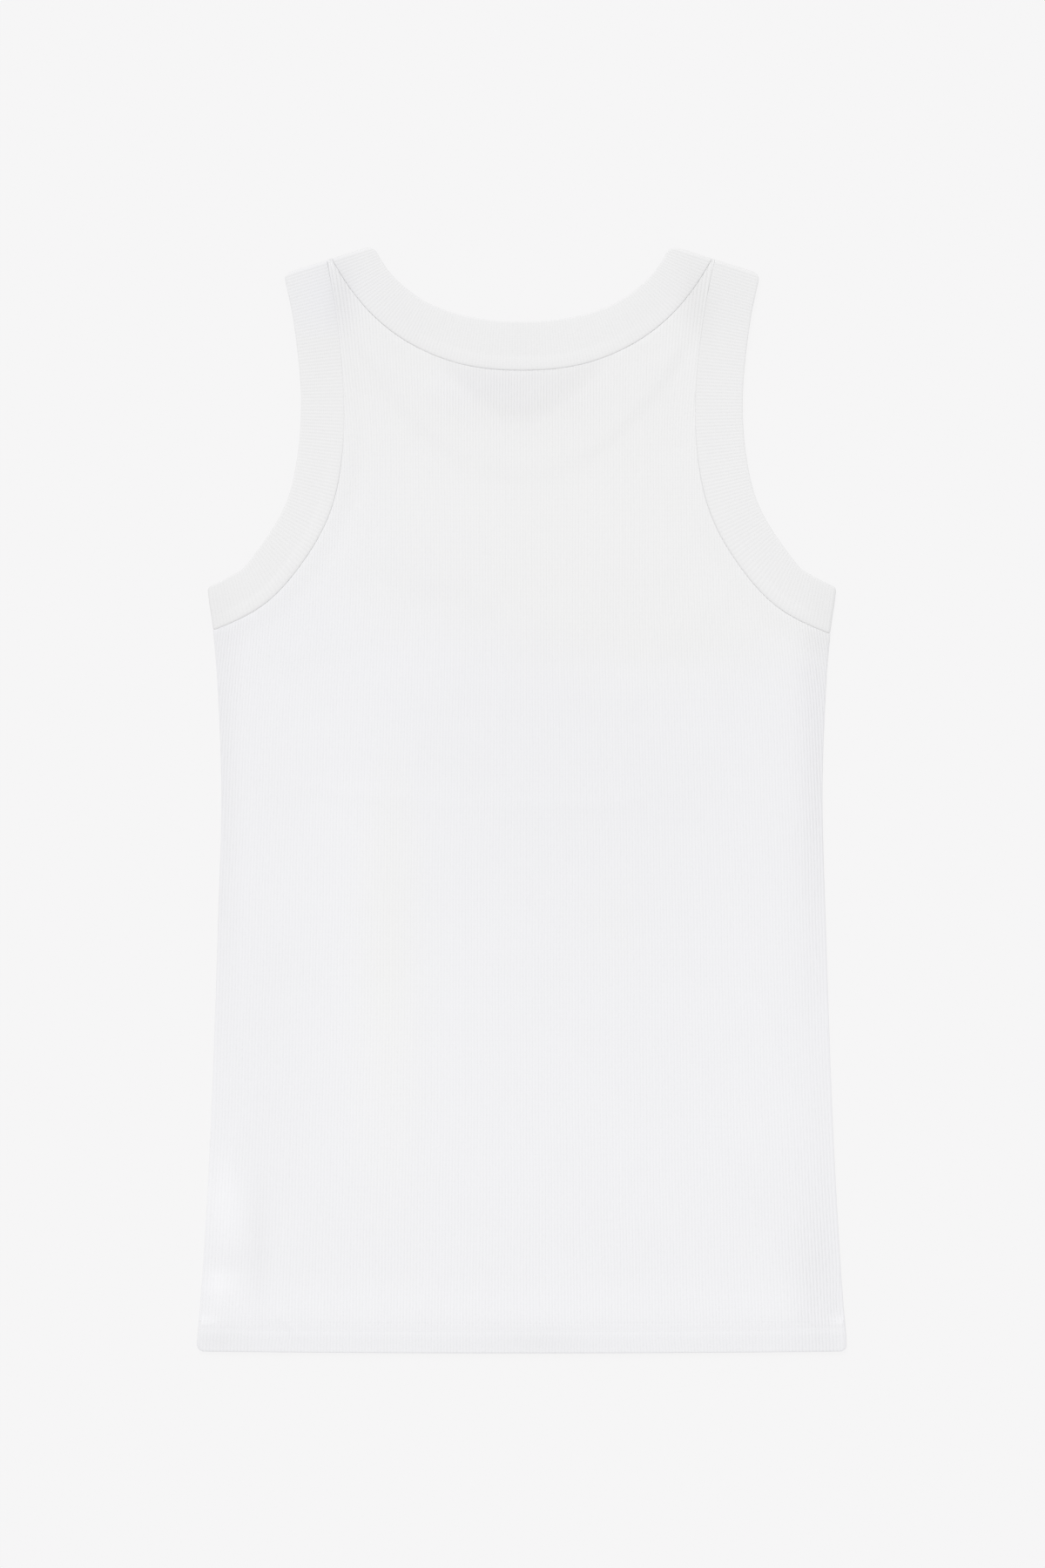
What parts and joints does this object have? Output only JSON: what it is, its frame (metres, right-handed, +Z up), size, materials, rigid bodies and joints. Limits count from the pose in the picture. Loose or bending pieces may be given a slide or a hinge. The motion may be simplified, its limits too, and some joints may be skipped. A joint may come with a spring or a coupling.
{
  "type": "tank top",
  "caption": "Sleeveless rib-knit tank top laid flat on its front, with scoop neck, doubled rib bindings and a turned-up hem.",
  "frame": {"origin": "under the middle of the garment's box, on the surface that it lies on", "axes": "+X towards the wearer's right, +Y from the hem to the shoulders, +Z up, away from the surface, out of the back"},
  "size_m": [0.4232, 0.7206, 0.0047],
  "materials": {
    "rib_body": "white cotton rib knit, matt",
    "rib_binding": "white cotton rib knit, doubled, matt"
  },
  "bodies": {
    "root": {"back_panel": "rib_body", "front_panel": "rib_body", "neck_binding": "rib_binding", "left_arm_binding": "rib_binding", "right_arm_binding": "rib_binding"}
  },
  "joints": []
}
